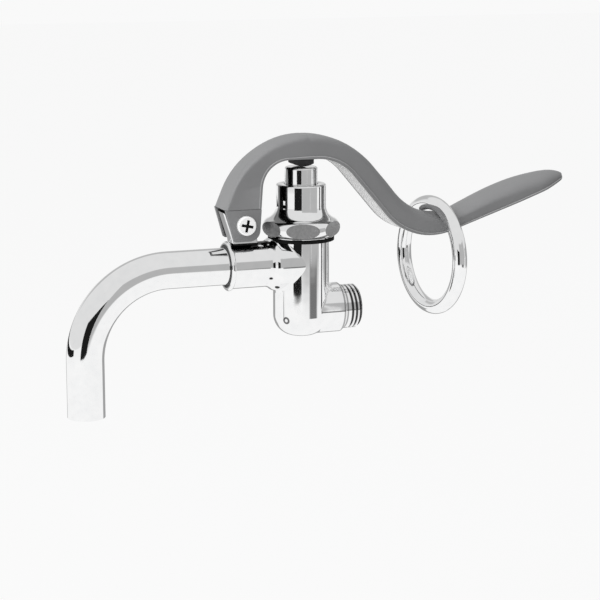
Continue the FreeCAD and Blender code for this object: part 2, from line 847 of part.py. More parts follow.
def hold_down_ring():
    """Ring hung on the rounded shoulders of the lever, just clear of them."""
    wire_r = ring_wire_d / 2
    middle_r = ring_d / 2 - wire_r
    inner_r = middle_r - wire_r
    corner_drop = cover_edge_round * (1 - math.sqrt(0.5))
    half_width = lever_plan_corners[3][1] - corner_drop
    plumb = Part.LineSegment(lever_point(ring_x, -SLAB_REACH), lever_point(ring_x, 0)).toShape()
    top_z = top_line().distToShape(plumb)[1][0][0].z
    centre_z = top_z - corner_drop + ring_gap - math.sqrt(inner_r * inner_r - half_width * half_width)
    turn = math.radians(ring_turn_deg)
    normal = Vector(math.cos(turn), math.sin(turn), 0)
    return Part.makeTorus(middle_r, wire_r, Vector(valve_x + ring_x, 0, centre_z), normal)


def guide_seal():
    return seal_ring(barrel_bore_d / 2 - seal_section_d - running_gap / 2, seal_section_d)


def stem_seal():
    return seal_ring(stem_d / 2 + running_gap, stem_seal_section_d)


PIECES = {
    "valve_body": valve_body,
    "hook_spout": hook_spout,
    "spout_seal": spout_seal,
    "bonnet": bonnet,
    "bonnet_gasket": bonnet_gasket,
    "push_button": push_button,
    "valve_stem": valve_stem,
    "stem_guide": stem_guide,
    "stem_seal": stem_seal,
    "guide_seal": guide_seal,
    "return_spring": return_spring,
    "valve_seat": valve_seat,
    "seat_washer": seat_washer,
    "washer_holder": washer_holder,
    "washer_screw": washer_screw,
    "lever_cover": lever_cover,
    "lever_core": lever_core,
    "lever_pad": lever_pad,
    "fulcrum_screw": fulcrum_screw,
    "fulcrum_nut": fulcrum_nut,
    "fulcrum_bushing": fulcrum_bushing,
    "fulcrum_washers": fulcrum_washers,
    "hold_down_ring": hold_down_ring,
}

os.makedirs("parts", exist_ok=True)
for name, make in PIECES.items():
    piece = make()
    piece.exportStep(os.path.join("parts", name + ".step"))
    box = piece.BoundBox
    print(
        f"{name}: {len(piece.Solids)} solid, valid {piece.isValid()}, volume {piece.Volume:.1f}, "
        f"x {box.XMin:.1f} {box.XMax:.1f}, y {box.YMin:.1f} {box.YMax:.1f}, z {box.ZMin:.1f} {box.ZMax:.1f}"
    )
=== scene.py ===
import bmesh
import bpy
import json
import math
from mathutils import Matrix, Vector


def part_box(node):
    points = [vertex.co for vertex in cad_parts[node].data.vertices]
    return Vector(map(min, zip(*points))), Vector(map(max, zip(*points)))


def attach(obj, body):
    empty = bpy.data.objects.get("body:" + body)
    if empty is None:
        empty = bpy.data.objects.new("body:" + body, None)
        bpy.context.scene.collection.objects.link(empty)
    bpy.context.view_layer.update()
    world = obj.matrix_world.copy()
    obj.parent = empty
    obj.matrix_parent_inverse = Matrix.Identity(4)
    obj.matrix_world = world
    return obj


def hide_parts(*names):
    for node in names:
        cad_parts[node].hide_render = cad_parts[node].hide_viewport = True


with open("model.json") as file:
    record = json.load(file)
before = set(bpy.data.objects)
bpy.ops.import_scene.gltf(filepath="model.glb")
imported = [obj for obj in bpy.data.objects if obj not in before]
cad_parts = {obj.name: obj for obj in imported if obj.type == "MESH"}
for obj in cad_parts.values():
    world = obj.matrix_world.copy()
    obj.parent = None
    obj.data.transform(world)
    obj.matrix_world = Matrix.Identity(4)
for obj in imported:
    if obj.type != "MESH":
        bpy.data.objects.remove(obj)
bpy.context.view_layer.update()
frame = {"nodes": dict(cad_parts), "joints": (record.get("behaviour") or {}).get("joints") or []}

MM = 0.001


def in_tenths(metres):
    """A length of the frame in millimetres, to the tenth that the valve is drawn in."""
    return round(metres / MM, 1)


# Places taken from the frame
button_low, button_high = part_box("push_button")
VALVE_X = in_tenths((button_low.x + button_high.x) / 2)
BUTTON_TOP = in_tenths(button_high.z)
PIVOT = next(joint for joint in frame["joints"] if joint["name"] == "lever_squeeze")["pos_m"]
PIVOT_FROM_VALVE = round(in_tenths(PIVOT[0]) - VALVE_X, 1)
OUTLET_HEIGHT = 21

# Camera that fits the photograph, in degrees and millimetres
CAMERA_TURN = 20.5
CAMERA_TILT = 11.5
CAMERA_AWAY = 815
CAMERA_LENS = 114
SENSOR_WIDTH = 36
AIM_RIGHT_OF_MIDDLE = 0.43
AIM_ABOVE_MIDDLE = 16.64

# Brightness of the white paper round the object, as each kind of ray finds it
PAPER_SEEN = 0.947
PAPER_IN_CHROME = 0.77
PAPER_LIGHT = 0.52
FLOOR_SEEN = 0.955
FLOOR_GLOW_SHARE = 0.96
FLOOR_HEIGHT = -0.22
FLOOR_HALF = 6.0

# Lever, in millimetres from the middle of the button's top face.
# A corner of an outline is (along, up or out, radius of the arc that rounds it).
NOSE = (-36.5, -16.1)
SEAM_REAR_X = -20.4
TIP_X, TIP_TOP, TIP_LOW = 124.0, -7.23, -10.34
TOP = ((-24.0, 13.8, 36.8), (19.3, 13.8, 36.8), (53.8, -30.4, 28.0), (100.2, -10.4, 140.0))
UNDER = ((-19.0, 3.9, 12.0), (14.3, 3.9, 22.0), (48.6, -36.3, 28.0))
PLAN_START = (-45.0, 8.0)
PLAN = (
    (-16.0, 8.0, 40.0),
    (0.0, 9.3, 40.0),
    (66.0, 9.7, 120.0),
    (99.0, 11.4, 60.0),
    (112.5, 10.9, 14.0),
    (124.0, 4.6, 7.6),
)

# How the cover's section changes along the lever, as (along, value) stops
BOXINESS = ((-36, 6.5), (-20, 4.2), (10, 3.6), (50, 3.0), (75, 2.55), (125, 2.4))
CROWN_DEPTH = ((-36, 3.2), (-10, 4.4), (125, 4.5))
LIP_STEP = ((-36, 0.08), (-12, 0.3), (15, 0.5))
CREST_LIFT = ((-36, 0.0), (22, 0.0), (44, 1.5), (100, 1.6), (114, 1.2), (125, 0.4))
TIP_START, TIP_REACH, TIP_DROP, TIP_ROUNDNESS = 115.5, 8.6, 2.2, 2.4
LIP_HEIGHT, LIP_SHARE = 1.3, 0.32
HEM_WIDTH = 1.75
CREST_STEPS = 18
LIP_POINTS = (4, 5)
INNER_WALL = ((2.4, 1.75), (1.75, 2.6))
ARC_STEPS, LINE_STEPS = 16, 10
TAIL_STEPS = [k / 26 for k in range(22)] + [0.87, 0.9, 0.925, 0.945, 0.96, 0.972, 0.982, 0.99, 0.996, 0.9992]

# Ends of the cover over the ears, in millimetres
EAR_FRONT, EAR_REAR, EAR_BOTTOM = 5.2, 6.1, -29.7
EAR_FRONT_ROUND, EAR_REAR_ROUND = 1.4, 4.6
EAR_INSIDE, EAR_OUTSIDE = 6.25, 8.0
EAR_EDGE_ROUND = 0.28
SEAM_GAP, SEAM_STEP_BACK = 0.14, 0.02

# Bonnet, as radii and heights in millimetres, and angles in degrees
BONNET_FOOT, BONNET_TOP, BONNET_NECK = 32.1, 54.7, 10.75
BONNET_BORE, BONNET_SKIRT, BONNET_BASE = 9.6, 13.9, 14.2
BULGE_CENTRE, BULGE_RADIUS, BULGE_START, BULGE_END = (12.8, 36.2), 3.9, -68.9, 65.38
FLARE_CENTRE, FLARE_RADIUS = (17.05, 45.473), 6.3
CROWN_ROUND, MOUTH_ROUND, MOUTH_RADIUS = 0.8, 0.25, 7.3
MOUTH_DEPTH, HOLLOW_RADIUS, HOLLOW_FOOT, BORE_TOP = 2.7, 8.5, 40.0, 39.0
BONNET_STEPS = 192
FLATS_OUT, FLATS_TURN, FLATS_HEIGHT = 15.1, -17 + 30, 36


# Helpers for meshes and node trees
def add_object(name, bm, materials):
    """Puts a finished mesh into the scene, with its place in its vertices."""
    mesh = bpy.data.meshes.new(name)
    bm.to_mesh(mesh)
    bm.free()
    for material in materials:
        mesh.materials.append(material)
    thing = bpy.data.objects.new(name, mesh)
    bpy.context.scene.collection.objects.link(thing)
    return thing


def node(tree, kind, at=None, **settings):
    """Adds a node with its settings. In at, a socket is linked to its input, and anything else is set there."""
    made = tree.nodes.new(kind)
    for key, value in settings.items():
        setattr(made, key, value)
    for key, value in (at or {}).items():
        if isinstance(value, bpy.types.NodeSocket):
            tree.links.new(value, made.inputs[key])
        else:
            made.inputs[key].default_value = value
    return made


def empty_tree(holder):
    """The cleared node tree of a material or of the world."""
    holder.use_nodes = True
    holder.node_tree.nodes.clear()
    return holder.node_tree


def combined(tree, operation, values):
    result = values[0]
    for value in values[1:]:
        result = node(tree, "ShaderNodeMath", {0: result, 1: value}, operation=operation).outputs[0]
    return result


def times(tree, *values):
    return combined(tree, "MULTIPLY", values)


def largest(tree, *values):
    return combined(tree, "MAXIMUM", values)


def smooth_step(tree, value, start, end, before=0.0, after=1.0):
    """Goes from one value to the other between start and end, without a corner."""
    at = {0: value, 1: start, 2: end, 3: before, 4: after}
    return node(tree, "ShaderNodeMapRange", at, interpolation_type="SMOOTHSTEP").outputs[0]


def span(tree, value, low, high, edge):
    """1 between low and high, fading out over the edge on both sides."""
    rise = smooth_step(tree, value, low - edge, low)
    fall = smooth_step(tree, value, high, high + edge, 1.0, 0.0)
    return times(tree, rise, fall)


def gray(shade):
    return (shade, shade, shade, 1)


# Camera
def look_at_valve():
    """The photograph's camera: a little to the spout's side of the valve and looking down at it."""
    turn, tilt = math.radians(CAMERA_TURN), math.radians(CAMERA_TILT)
    ahead = Vector((math.sin(turn) * math.cos(tilt), math.cos(turn) * math.cos(tilt), -math.sin(tilt)))
    right = Vector((math.cos(turn), -math.sin(turn), 0))
    up = right.cross(ahead)
    aim = Vector((VALVE_X, 0, OUTLET_HEIGHT))
    place = aim - CAMERA_AWAY * ahead - AIM_RIGHT_OF_MIDDLE * right - AIM_ABOVE_MIDDLE * up
    data = bpy.data.cameras.new("camera")
    data.lens = CAMERA_LENS
    data.sensor_width = SENSOR_WIDTH
    data.clip_start = 0.05
    data.clip_end = 50
    camera = bpy.data.objects.new("camera", data)
    axes = Matrix((right, up, -ahead)).transposed()
    camera.matrix_world = Matrix.Translation(place * MM) @ axes.to_4x4()
    bpy.context.scene.collection.objects.link(camera)
    bpy.context.scene.camera = camera
    bpy.context.scene.view_settings.view_transform = "Standard"


# Studio
def seen_not_lit(tree, light):
    """1 for rays from the camera and from shiny or clear pieces, and 0 for rays that only carry light."""
    rays = ("Is Camera Ray", "Is Glossy Ray", "Is Transmission Ray")
    return largest(tree, *[light.outputs[ray] for ray in rays])


def set_world():
    """White paper all round: bright to the camera, grayer in the chrome, and dimmer still as light."""
    world = bpy.data.worlds.new("studio")
    bpy.context.scene.world = world
    tree = empty_tree(world)
    light = node(tree, "ShaderNodeLightPath")
    lit = node(tree, "ShaderNodeMapRange", {0: seen_not_lit(tree, light), 3: PAPER_LIGHT, 4: PAPER_IN_CHROME})
    by_ray = {0: light.outputs["Is Camera Ray"], 2: lit.outputs[0], 3: PAPER_SEEN}
    strength = node(tree, "ShaderNodeMix", by_ray, data_type="FLOAT")
    paper = node(tree, "ShaderNodeBackground", {"Color": gray(1), "Strength": strength.outputs[0]})
    node(tree, "ShaderNodeOutputWorld", {"Surface": paper.outputs[0]})


def set_floor():
    """Pale floor far below the valve, so plain that it runs into the paper behind."""
    paint = bpy.data.materials.new("floor_paint")
    tree = empty_tree(paint)
    seen = seen_not_lit(tree, node(tree, "ShaderNodeLightPath"))
    glow = node(tree, "ShaderNodeEmission", {"Color": gray(FLOOR_SEEN), "Strength": 1.0})
    matt = node(tree, "ShaderNodeBsdfDiffuse", {"Color": gray(0.9)})
    share = times(tree, seen, FLOOR_GLOW_SHARE)
    mixed = node(tree, "ShaderNodeMixShader", {0: share, 1: matt.outputs[0], 2: glow.outputs[0]})
    node(tree, "ShaderNodeOutputMaterial", {"Surface": mixed.outputs[0]})
    bm = bmesh.new()
    low = Matrix.Translation((0, 0, FLOOR_HEIGHT))
    bmesh.ops.create_grid(bm, x_segments=1, y_segments=1, size=FLOOR_HALF, matrix=low)
    add_object("floor", bm, [paint])


def soft_lamp(name, place, size, power, aim=(-0.01, 0, 0.02)):
    """A broad lamp that the chrome doesn't mirror."""
    data = bpy.data.lights.new(name, "AREA")
    data.shape = "RECTANGLE"
    data.size, data.size_y = size
    data.energy = power
    lamp = bpy.data.objects.new(name, data)
    away = Vector(place) - Vector(aim)
    lamp.matrix_world = Matrix.Translation(place) @ away.to_track_quat("Z", "Y").to_matrix().to_4x4()
    lamp.visible_glossy = False
    bpy.context.scene.collection.objects.link(lamp)


def card_paint(name, shade, soft):
    """Even gray that fades out at the card's edges, over the given shares of its width and height."""
    paint = bpy.data.materials.new(name)
    tree = empty_tree(paint)
    place = node(tree, "ShaderNodeUVMap", uv_map="UVMap")
    axes = node(tree, "ShaderNodeSeparateXYZ", {0: place.outputs[0]})
    fades = []
    for axis, share in zip(("X", "Y"), soft):
        off = node(tree, "ShaderNodeMath", {0: axes.outputs[axis], 1: 0.5}, operation="SUBTRACT")
        off = node(tree, "ShaderNodeMath", {0: off.outputs[0]}, operation="ABSOLUTE")
        fades.append(smooth_step(tree, off.outputs[0], 0.5, 0.5 - share))
    glow = node(tree, "ShaderNodeEmission", {"Color": gray(shade)})
    clear = node(tree, "ShaderNodeBsdfTransparent")
    mixed = node(tree, "ShaderNodeMixShader", {0: times(tree, *fades), 1: clear.outputs[0], 2: glow.outputs[0]})
    node(tree, "ShaderNodeOutputMaterial", {"Surface": mixed.outputs[0]})
    return paint


def card(name, azimuth, width, low, high, shade, soft, distance=0.6, centre=(-0.015, 0, 0.03)):
    """A gray or black card that only the chrome sees.

    Angles in degrees from the centre: azimuth from the camera round to the right, the card's width,
    and its low and high edge against the level. Distance in metres."""
    turn = math.radians(CAMERA_TURN) - math.radians(azimuth)
    toward = Vector((-math.sin(turn), -math.cos(turn), 0))
    half = distance * math.tan(math.radians(width / 2))
    foot = distance * math.tan(math.radians(low))
    head = distance * math.tan(math.radians(high))
    upright = Vector((0, 0, 1))
    axes = Matrix((upright.cross(toward), upright, toward)).transposed().to_4x4()
    middle = Vector(centre) + toward * distance + Vector((0, 0, (foot + head) / 2))
    stretch = Matrix.Diagonal((2 * half, head - foot, 1, 1))
    bm = bmesh.new()
    place = Matrix.Translation(middle) @ axes @ stretch
    bmesh.ops.create_grid(bm, x_segments=1, y_segments=1, size=0.5, matrix=place)
    sheet = add_object(name, bm, [card_paint(name, shade, soft)])
    sheet.data.uv_layers.new(name="UVMap")
    sheet.visible_camera = False
    sheet.visible_diffuse = False
    sheet.visible_shadow = False
    sheet.visible_transmission = False


def set_studio():
    """Paper, floor, lamps and the cards, named for where the camera would find them."""
    set_world()
    set_floor()
    soft_lamp("overhead", (-0.75, -0.1, 1.0), (1.3, 1.2), 17.0)
    soft_lamp("front_left", (-1.0, -0.8, 0.6), (1.0, 1.0), 5.0)
    card("left_card", -108, 80, -11.8, -6.5, 0.012, soft=(0.02, 0.04))
    card("front_card", -13, 34, -13.7, 10, 0.012, soft=(0.03, 0.02))
    card("front_wall", 23, 38, -15.0, 26, 0.47, soft=(0.02, 0.12))
    card("right_wall", 60, 36, -15.2, 26, 0.47, soft=(0.02, 0.12))
    card("right_low", 52, 42, -17.2, -10.3, 0.18, soft=(0.22, 0.3), distance=0.58)
    card("right_line", 93, 8, -16, 8, 0.01, soft=(0.2, 0.05))
    card("right_dark", 118, 14, -14, 6, 0.12, soft=(0.3, 0.1))
    card("right_rear", 130, 60, -14, 6, 0.5, soft=(0.1, 0.1), distance=0.66)
    card("rear_gray", 180, 110, 6, 42, 0.5, soft=(0.2, 0.2), distance=0.8)
    card("rear_low", 180, 100, -44, -8, 0.36, soft=(0.1, 0.1), distance=0.24)


# Effects that several finishes share
def shared_group(name, inputs, outputs):
    """An empty node group. Inputs are (label, start value or None for a vector), and outputs are labels."""
    group = bpy.data.node_groups.new(name, "ShaderNodeTree")
    for label, value in inputs:
        kind = "NodeSocketVector" if value is None else "NodeSocketFloat"
        socket = group.interface.new_socket(label, in_out="INPUT", socket_type=kind)
        if value is not None:
            socket.default_value = value
    for label in outputs:
        group.interface.new_socket(label, in_out="OUTPUT", socket_type="NodeSocketFloat")
    return group


def noise(tree, vector, scale, **more):
    at = {"Vector": vector, "Scale": scale, **more}
    return node(tree, "ShaderNodeTexNoise", at).outputs["Fac"]


def make_polish_marks():
    """Faint buffing haze and the slow ripple of a hand-polished face."""
    inputs = [("Vector", None), ("Scale", 200.0), ("Ripple", 60.0)]
    group = shared_group("polish_marks", inputs, ["Haze", "Height"])
    start = node(group, "NodeGroupInput").outputs
    haze = noise(group, start["Vector"], start["Scale"], Detail=4.0, Roughness=0.6)
    spread = node(group, "ShaderNodeMapRange", {0: haze, 1: 0.3, 2: 0.75})
    ripple = noise(group, start["Vector"], start["Ripple"], Detail=1.0)
    node(group, "NodeGroupOutput", {"Haze": spread.outputs[0], "Height": ripple})
    return group


def make_mould_grain():
    """Fine grain of a moulded surface and slow patches of lighter and darker colour."""
    inputs = [("Vector", None), ("Grain", 2500.0), ("Patch", 40.0)]
    group = shared_group("mould_grain", inputs, ["Height", "Patches"])
    start = node(group, "NodeGroupInput").outputs
    fine = noise(group, start["Vector"], start["Grain"], Detail=3.0, Roughness=0.7)
    patch = noise(group, start["Vector"], start["Patch"], Detail=5.0, Roughness=0.55)
    node(group, "NodeGroupOutput", {"Height": fine, "Patches": patch})
    return group


def make_edge_band():
    """A painted dark reflection, as a band where a round face turns away from the eye. Facing comes from a Layer
    Weight in the material.
    """
    group = shared_group("edge_band", [("Facing", 0.5), ("Depth", 0.82)], ["Band"])
    start = node(group, "NodeGroupInput").outputs
    band = times(group, span(group, start["Facing"], 0.44, 0.56, 0.06), start["Depth"])
    node(group, "NodeGroupOutput", {"Band": band})
    return group


POLISH = make_polish_marks()
GRAIN = make_mould_grain()
EDGE_BAND = make_edge_band()
FINISHES = {}


# Kinds of finish
def blank_finish(name):
    """A new finish under its slot's name. Its place counts from the barrel's axis at the outlet's height."""
    material = bpy.data.materials.new(name)
    FINISHES[name] = material
    tree = empty_tree(material)
    place = node(tree, "ShaderNodeTexCoord")
    to_middle = (-VALVE_X * MM, 0, -OUTLET_HEIGHT * MM)
    centre = node(tree, "ShaderNodeMapping", {"Vector": place.outputs["Object"], "Location": to_middle})
    return tree, centre.outputs[0]


def mixed_colour(tree, share, first, second):
    """The second colour where the share is 1, and the first where it is 0."""
    return node(tree, "ShaderNodeMix", {0: share, 6: first, 7: second}, data_type="RGBA").outputs[2]


def bumped(tree, height, depth):
    """The normal of a surface that is raised by up to the depth, in metres, where the height is 1."""
    return node(tree, "ShaderNodeBump", {"Strength": 1.0, "Distance": depth, "Height": height}).outputs[0]


def end_finish(tree, **sockets):
    """Puts the shader and the output on. The sockets are named as on the shader, with _ for a space."""
    at = {label.replace("_", " "): value for label, value in sockets.items()}
    shader = node(tree, "ShaderNodeBsdfPrincipled", at)
    node(tree, "ShaderNodeOutputMaterial", {"Surface": shader.outputs[0]})


def bright_metal(name, dark, light, smooth, hazy, haze=260.0, ripples=70.0, ripple=0.0002, bare=1.0):
    """Plated or bare metal. Its colour and gloss vary with the buffing: smooth and hazy are roughnesses."""
    tree, place = blank_finish(name)
    at = {"Vector": place, "Scale": haze, "Ripple": ripples}
    marks = node(tree, "ShaderNodeGroup", at, node_tree=POLISH).outputs
    colour = mixed_colour(tree, marks["Haze"], (*light, 1), (*dark, 1))
    rough = node(tree, "ShaderNodeMapRange", {0: marks["Haze"], 3: smooth, 4: hazy}).outputs[0]
    normal = bumped(tree, marks["Height"], ripple)
    end_finish(tree, Base_Color=colour, Metallic=bare, Roughness=rough, Normal=normal)


def chrome(name, smooth, hazy, ripples, ripple):
    """Bright plating over polished brass."""
    bright_metal(name, (0.90, 0.905, 0.91), (0.955, 0.955, 0.955), smooth, hazy, ripples=ripples, ripple=ripple)


def moulded(name, dark, light, smooth, dull, grain=2500.0, patch=45.0, depth=0.00003, shine=0.5):
    """Moulded plastic or rubber with a fine grain. Smooth and dull are roughnesses."""
    tree, place = blank_finish(name)
    at = {"Vector": place, "Grain": grain, "Patch": patch}
    marks = node(tree, "ShaderNodeGroup", at, node_tree=GRAIN).outputs
    spread = node(tree, "ShaderNodeMapRange", {0: marks["Patches"], 1: 0.3, 2: 0.7}).outputs[0]
    colour = mixed_colour(tree, spread, (*dark, 1), (*light, 1))
    by_patch = {0: marks["Patches"], 1: 0.3, 2: 0.7, 3: smooth, 4: dull}
    rough = node(tree, "ShaderNodeMapRange", by_patch).outputs[0]
    normal = bumped(tree, marks["Height"], depth)
    end_finish(tree, Base_Color=colour, Roughness=rough, Normal=normal, Specular_IOR_Level=shine)


def make_finishes():
    """Every finish of the valve, under the name of its slot in the record, and the bonnet's satin facets."""
    chrome("body_chrome", 0.03, 0.07, ripples=90.0, ripple=0.00006)
    chrome("tube_chrome", 0.03, 0.07, ripples=50.0, ripple=0.00003)
    chrome("bonnet_chrome", 0.04, 0.09, ripples=120.0, ripple=0.00003)
    chrome("button_chrome", 0.04, 0.10, ripples=120.0, ripple=0.00003)
    chrome("ring_chrome", 0.03, 0.08, ripples=60.0, ripple=0.00004)
    bright_metal("screw_steel", (0.95, 0.95, 0.95), (0.99, 0.99, 0.99), 0.3, 0.4, ripple=0.00001, bare=0.35)
    bright_metal("lever_metal", (0.94, 0.94, 0.94), (0.98, 0.98, 0.98), 0.34, 0.4, 60.0, 30.0, 0.00001, 0.5)
    bright_metal("facet_satin", (0.36, 0.36, 0.365), (0.52, 0.52, 0.52), 0.26, 0.36, 900.0, 2600.0, 0.00002)
    bright_metal("spring_steel", (0.5, 0.5, 0.52), (0.7, 0.7, 0.7), 0.2, 0.35)
    bright_metal("seat_steel", (0.55, 0.55, 0.56), (0.72, 0.72, 0.72), 0.2, 0.35)
    bright_metal("inner_screw_steel", (0.5, 0.5, 0.5), (0.7, 0.7, 0.7), 0.2, 0.4)
    bright_metal("stem_brass", (0.55, 0.42, 0.19), (0.78, 0.62, 0.32), 0.18, 0.35)
    bright_metal("guide_brass", (0.52, 0.39, 0.17), (0.76, 0.6, 0.3), 0.2, 0.38)
    bright_metal("holder_brass", (0.5, 0.38, 0.17), (0.74, 0.58, 0.3), 0.2, 0.38)
    bright_metal("bushing_brass", (0.52, 0.39, 0.17), (0.76, 0.6, 0.3), 0.2, 0.38)
    moulded("lever_gray", (0.172, 0.173, 0.176), (0.192, 0.193, 0.196), 0.36, 0.46)
    moulded("pad_black", (0.03, 0.03, 0.032), (0.05, 0.05, 0.052), 0.5, 0.65, shine=0.2)
    moulded("gasket_rubber", (0.004, 0.004, 0.004), (0.01, 0.01, 0.01), 0.55, 0.7, shine=0.08)
    moulded("seal_rubber", (0.014, 0.014, 0.015), (0.03, 0.03, 0.03), 0.45, 0.65)
    moulded("ring_rubber", (0.012, 0.012, 0.013), (0.03, 0.03, 0.03), 0.4, 0.6)
    moulded("washer_rubber", (0.014, 0.014, 0.015), (0.03, 0.03, 0.03), 0.45, 0.65)
    moulded("washer_plastic", (0.7, 0.7, 0.68), (0.8, 0.8, 0.78), 0.35, 0.5)


# Painted light and shade, and dark spots, that belong to one finish. Lengths in millimetres of the frame.
BEYOND = 1000.0


def span_mm(tree, value, low, high, edge):
    return span(tree, value, low * MM, high * MM, edge * MM)


def dot(tree, place, centre, low, high):
    """A dot, or a ring when low is above 0, round a spot on the casting."""
    near = node(tree, "ShaderNodeVectorMath", {0: place, 1: Vector(centre) * MM}, operation="DISTANCE")
    return span_mm(tree, near.outputs["Value"], low, high, 0.22)


def painted_thread_shade(tree, along, out):
    """Painted shade in the roots of the inlet's thread, and two painted dark lines at its start."""
    roots = times(tree, span_mm(tree, along, -0.6, 20, 0.3), span_mm(tree, out, 8.2, 9.02, 0.4), 0.8)
    starts = largest(tree, span_mm(tree, along, 0.7, 1.1, 0.3), span_mm(tree, along, -1.1, -0.7, 0.3))
    return largest(tree, roots, times(tree, starts, span_mm(tree, out, 8.5, 20, 0.3), 0.6))


def painted_shade_under_ears(tree, place, along, up):
    """Painted shade in the gap between the collar and the lever's ears: black, with an uneven lower edge."""
    ragged_noise = noise(tree, place, 420.0, Detail=3.0)
    shift = node(tree, "ShaderNodeMath", {0: ragged_noise, 1: 1.2 * MM, 2: -0.6 * MM}, operation="MULTIPLY_ADD")
    uneven = node(tree, "ShaderNodeMath", {0: up, 1: shift.outputs[0]}, operation="ADD").outputs[0]
    below = node(tree, "ShaderNodeMath", {0: up, 1: 30.95 * MM}, operation="LESS_THAN").outputs[0]
    front = times(tree, span_mm(tree, along, -50.2, -38.5, 0.8), span_mm(tree, uneven, 29.2, 40, 0.3))
    rear = times(tree, span_mm(tree, along, -38.5, -31, 0.8), span_mm(tree, uneven, 30.1, 40, 0.3))
    return times(tree, largest(tree, front, rear), below)


def painted_shade_and_dark_spots(tree, place):
    """Everything painted dark on the body: painted shade in the thread and in the gap under the ears, a small
    dark ring on the elbow and two dark spots by the outlet.
    """
    axes = node(tree, "ShaderNodeSeparateXYZ", {0: place}).outputs
    flat = node(tree, "ShaderNodeCombineXYZ", {1: axes[1], 2: axes[2]})
    out = node(tree, "ShaderNodeVectorMath", {0: flat.outputs[0]}, operation="LENGTH").outputs["Value"]
    ring = times(tree, dot(tree, place, (-26.5, -7.1, -2.9), 0.9, 1.5), 0.85)
    large = dot(tree, place, (-34.2, -9.6, 15.5), -BEYOND, 1.3)
    small = dot(tree, place, (-30.7, -7.1, 11.6), -BEYOND, 1.0)
    thread = painted_thread_shade(tree, axes[0], out)
    return largest(tree, thread, painted_shade_under_ears(tree, place, axes[0], axes[2]), ring, large, small)


def painted_recess_shade(tree, place):
    """Painted shade on the walls and floor of the cross in the screw's head."""
    axes = node(tree, "ShaderNodeSeparateXYZ", {0: place}).outputs
    near = node(tree, "ShaderNodeVectorMath", {0: place, 1: PIVOT}, operation="SUBTRACT")
    near = node(tree, "ShaderNodeVectorMath", {0: near.outputs[0], 1: (1, 0, 1)}, operation="MULTIPLY")
    out = node(tree, "ShaderNodeVectorMath", {0: near.outputs[0]}, operation="LENGTH").outputs["Value"]
    return times(tree, span_mm(tree, axes[1], -9.78, -8, 0.05), span_mm(tree, out, -BEYOND, 3.4, 0.1))


def channel_front(tree, place):
    """The shaded end of the lever's channel, between the ears and the button."""
    axes = node(tree, "ShaderNodeSeparateXYZ", {0: place}).outputs
    return span_mm(tree, axes[0], -BEYOND, -26, 6)


def painted_lip_highlight(tree, place):
    """A painted highlight: the upper edge of the lip along the cover's hem is made lighter."""
    worn = node(tree, "ShaderNodeAttribute", attribute_name="lip")
    return smooth_step(tree, worn.outputs["Fac"], 0.55, 1.0)


def painted_edge_reflection(tree, place):
    """A painted dark reflection: a darker band where the round faces turn away from the eye, fitted to the
    photograph.
    """
    facing = node(tree, "ShaderNodeLayerWeight", {0: 0.5}).outputs["Facing"]
    return node(tree, "ShaderNodeGroup", {"Facing": facing, "Depth": 0.82}, node_tree=EDGE_BAND).outputs["Band"]


def recoloured(name, mask_of, colour, rough=None):
    """Gives a finish another colour, and another roughness if one is named, where mask_of(tree, place) is 1."""
    tree = FINISHES[name].node_tree
    shader = next(n for n in tree.nodes if n.type == "BSDF_PRINCIPLED")
    place = node(tree, "ShaderNodeTexCoord").outputs["Object"]
    mask = mask_of(tree, place)
    base, gloss = shader.inputs["Base Color"], shader.inputs["Roughness"]
    tree.links.new(mixed_colour(tree, mask, base.links[0].from_socket, (*colour, 1)), base)
    if rough is not None:
        at = {0: mask, 2: gloss.links[0].from_socket, 3: rough}
        tree.links.new(node(tree, "ShaderNodeMix", at, data_type="FLOAT").outputs[0], gloss)


def mark_finishes():
    # Painted highlight on the lever's lip, painted dark reflections on bonnet and button, painted shade in the
    # thread, under the ears, in the screw's cross and in the channel's end, and dark spots on the body.
    recoloured("lever_gray", painted_lip_highlight, (0.34, 0.34, 0.345))
    recoloured("bonnet_chrome", painted_edge_reflection, (0.03, 0.03, 0.03))
    recoloured("button_chrome", painted_edge_reflection, (0.03, 0.03, 0.03))
    recoloured("body_chrome", painted_shade_and_dark_spots, (0.02, 0.02, 0.02))
    recoloured("screw_steel", painted_recess_shade, (0.01, 0.01, 0.01), 0.7)
    recoloured("lever_metal", channel_front, (0.012, 0.012, 0.012), 0.7)


def dress_cad_nodes():
    """Puts the finish of each slot on the CAD pieces that are shown as they are."""
    for thing in frame["nodes"].values():
        for slot in thing.material_slots:
            label = slot.material.name.split(".")[0]
            if label in FINISHES:
                slot.material = FINISHES[label]


# Shaping the new pieces
def soften(bm, degrees):
    """Smooth shading, with a sharp edge wherever two faces turn by more than the given angle."""
    limit = math.radians(degrees)
    for face in bm.faces:
        face.smooth = True
    for edge in bm.edges:
        if len(edge.link_faces) == 2 and edge.calc_face_angle(0.0) > limit:
            edge.smooth = False


def piece(name, bm, body, slot, stands_for, more_finishes=()):
    """Puts a finished piece in the scene with its slot's finish, attaches it to the body it moves with, and
    hides the CAD piece it stands for.
    """
    thing = add_object(name, bm, [FINISHES[slot], *more_finishes])
    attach(thing, body)
    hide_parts(stands_for)


